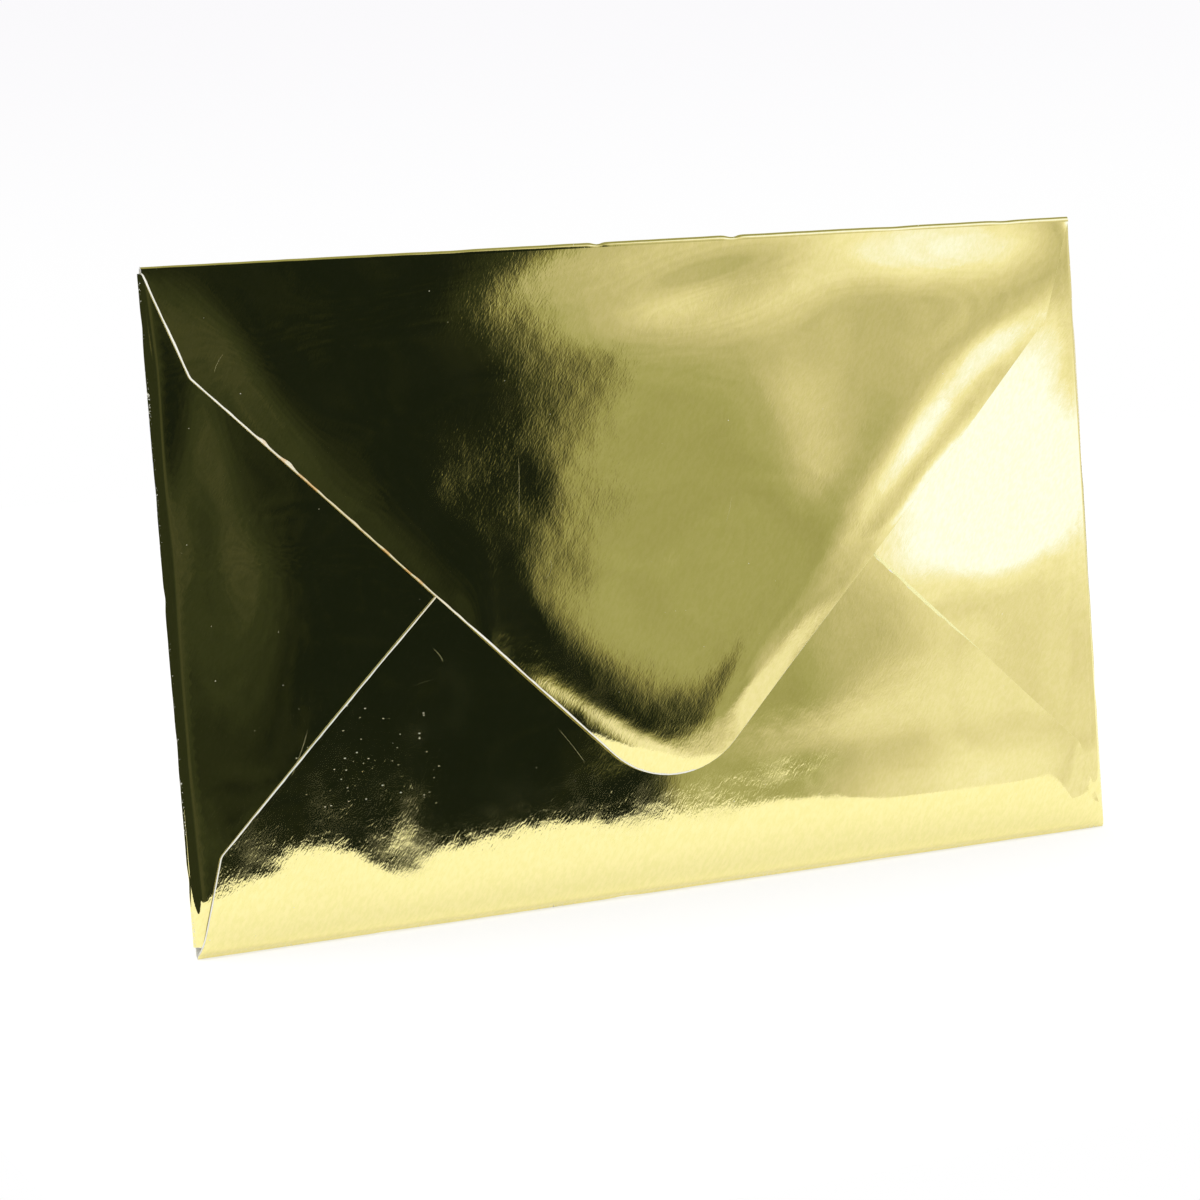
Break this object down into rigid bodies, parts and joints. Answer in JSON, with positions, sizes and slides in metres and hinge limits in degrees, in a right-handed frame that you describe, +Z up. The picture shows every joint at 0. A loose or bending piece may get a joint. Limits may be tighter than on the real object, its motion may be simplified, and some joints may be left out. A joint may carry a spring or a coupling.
{
  "type": "foil envelope",
  "caption": "Gold foil envelope: a pointed seal flap with a round tip hinges on the top crease, over side and bottom flaps glued into a flat pocket.",
  "frame": {"origin": "under the middle of the closed envelope, level with the bottom fold that it stands on", "axes": "+X along the long edge, to the right as seen from the seal flap's side; +Y out of the plain address side, so the seal flap faces -Y; +Z up, from the bottom fold to the seal flap's crease"},
  "size_m": [0.162, 0.0052, 0.105],
  "materials": {
    "white_paper": "matte",
    "gold_film": "polished",
    "seam_glue": "satin",
    "flap_gum": "gloss"
  },
  "bodies": {
    "pocket": {"face_panel": "white_paper", "left_fold": "white_paper", "right_fold": "white_paper", "bottom_fold": "white_paper", "top_fold": "white_paper", "left_side_flap": "white_paper", "right_side_flap": "white_paper", "bottom_flap": "white_paper", "face_film": "gold_film", "left_fold_film": "gold_film", "right_fold_film": "gold_film", "bottom_fold_film": "gold_film", "top_fold_film": "gold_film", "left_side_film": "gold_film", "right_side_film": "gold_film", "bottom_flap_film": "gold_film", "left_seam_glue": "seam_glue", "right_seam_glue": "seam_glue"},
    "flap": {"seal_flap": "white_paper", "seal_flap_film": "gold_film", "seal_gum": "flap_gum"}
  },
  "joints": [
    {"name": "seal_flap_hinge", "type": "hinge", "parent": "pocket", "child": "flap", "pos_m": [0, 0.00099, 0.10489], "axis": [-1, 0, 0], "range_deg": [0, 180]}
  ]
}
